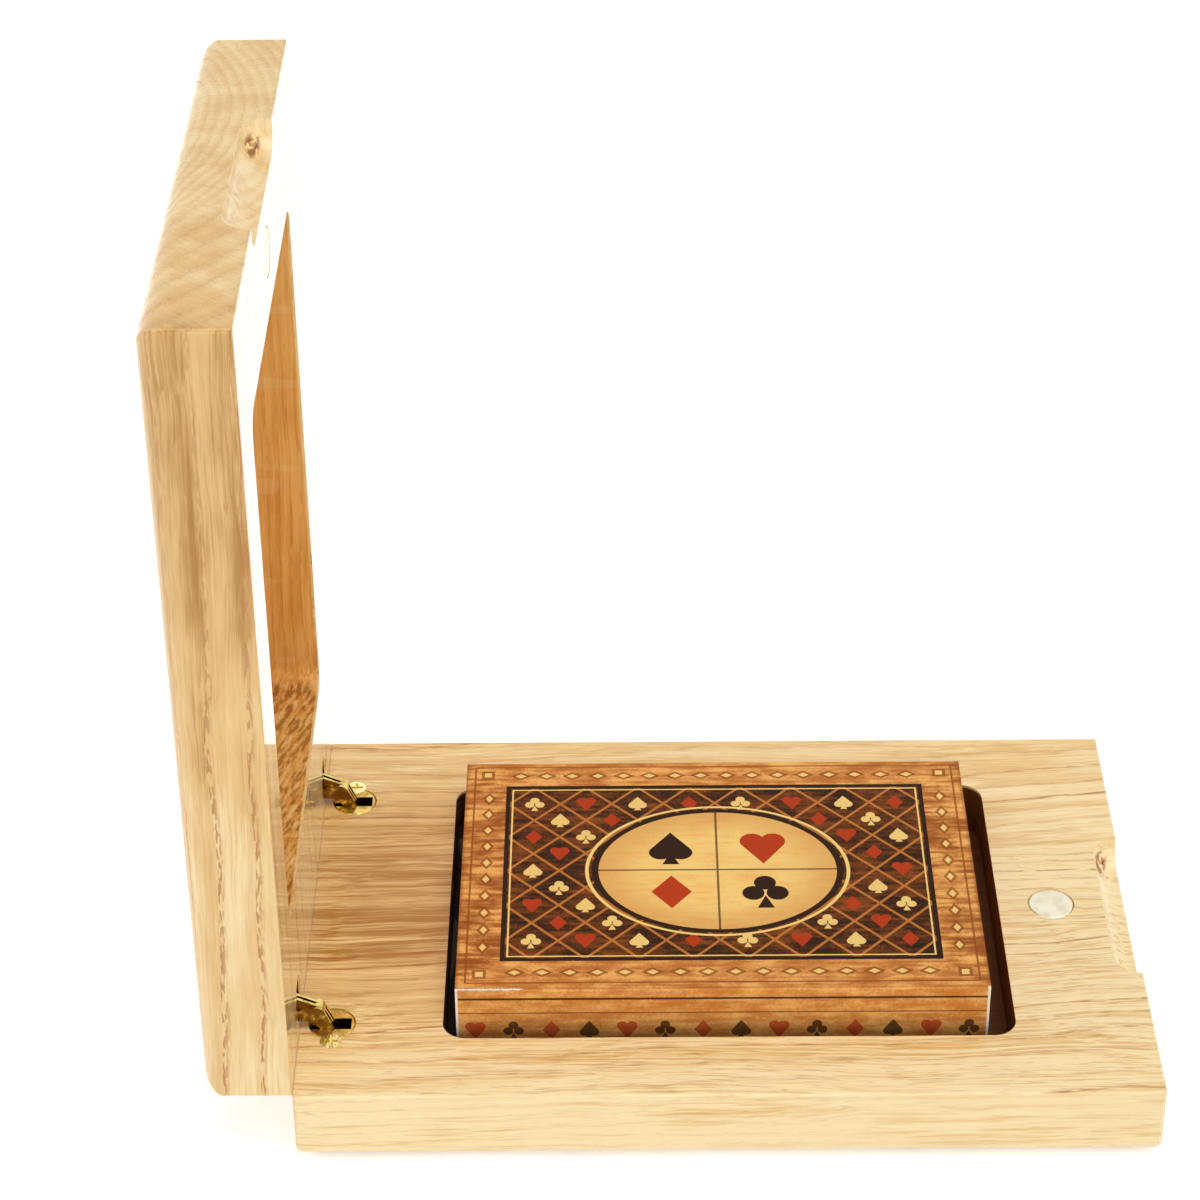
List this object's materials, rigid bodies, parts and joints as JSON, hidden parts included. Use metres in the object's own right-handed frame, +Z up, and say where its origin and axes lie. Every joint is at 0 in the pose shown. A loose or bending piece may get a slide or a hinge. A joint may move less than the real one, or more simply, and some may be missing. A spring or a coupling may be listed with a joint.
{
  "type": "playing card case",
  "caption": "Solid oak case for a deck of playing cards: two hollowed halves on brass barrel hinges, with a magnet catch and finger notch, standing open with the boxed deck inside.",
  "frame": {"origin": "middle of the base's underside, the face that the case stands on", "axes": "+X from the hinges to the finger notch, +Y along the hinge axis, +Z up; the lid stands open at right angles"},
  "size_m": [0.1595, 0.1, 0.1595],
  "materials": {
    "oak": "satin lacquer",
    "brass": "bright, lightly tarnished",
    "magnet": "nickel plated, satin",
    "printed_card": "printed, matt varnish",
    "card_paper": "coated card"
  },
  "bodies": {
    "base": {"base_board": "oak", "base_magnet": "magnet", "near_base_barrel": "brass", "near_base_screw": "brass", "near_base_pin": "brass", "far_base_barrel": "brass", "far_base_screw": "brass", "far_base_pin": "brass"},
    "lid": {"lid_board": "oak", "lid_magnet": "magnet", "near_lid_barrel": "brass", "near_lid_screw": "brass", "near_lid_pin": "brass", "far_lid_barrel": "brass", "far_lid_screw": "brass", "far_lid_pin": "brass"},
    "base_links": {"near_base_links": "brass", "far_base_links": "brass"},
    "lid_links": {"near_lid_links": "brass", "near_centre_pin": "brass", "far_lid_links": "brass", "far_centre_pin": "brass"},
    "boxed_deck": {"carton_body": "printed_card", "carton_tuck_flap": "printed_card", "carton_dust_flaps": "printed_card", "card_deck": "card_paper"}
  },
  "joints": [
    {"name": "lid_hinge", "type": "hinge", "parent": "base", "child": "lid", "pos_m": [-0.07243, 0, 0.01455], "axis": [0, 1, 0], "range_deg": [0, 90]},
    {"name": "base_link_turn", "type": "hinge", "parent": "base", "child": "base_links", "pos_m": [-0.0697, 0, 0.01285], "axis": [0, 1, 0], "range_deg": [0, 66.2]},
    {"name": "lid_link_turn", "type": "hinge", "parent": "lid", "child": "lid_links", "pos_m": [-0.07413, 0, 0.01728], "axis": [0, 1, 0], "range_deg": [-66.2, 0]},
    {"name": "deck_slide", "type": "slide", "parent": "base", "child": "boxed_deck", "axis": [1, 0, 0], "range_m": [-0.0022, 0.0046]}
  ],
  "couplings": [
    {"joint": "base_link_turn", "follows": "lid_hinge", "ratio": 0.7342},
    {"joint": "lid_link_turn", "follows": "lid_hinge", "ratio": -0.7342}
  ]
}
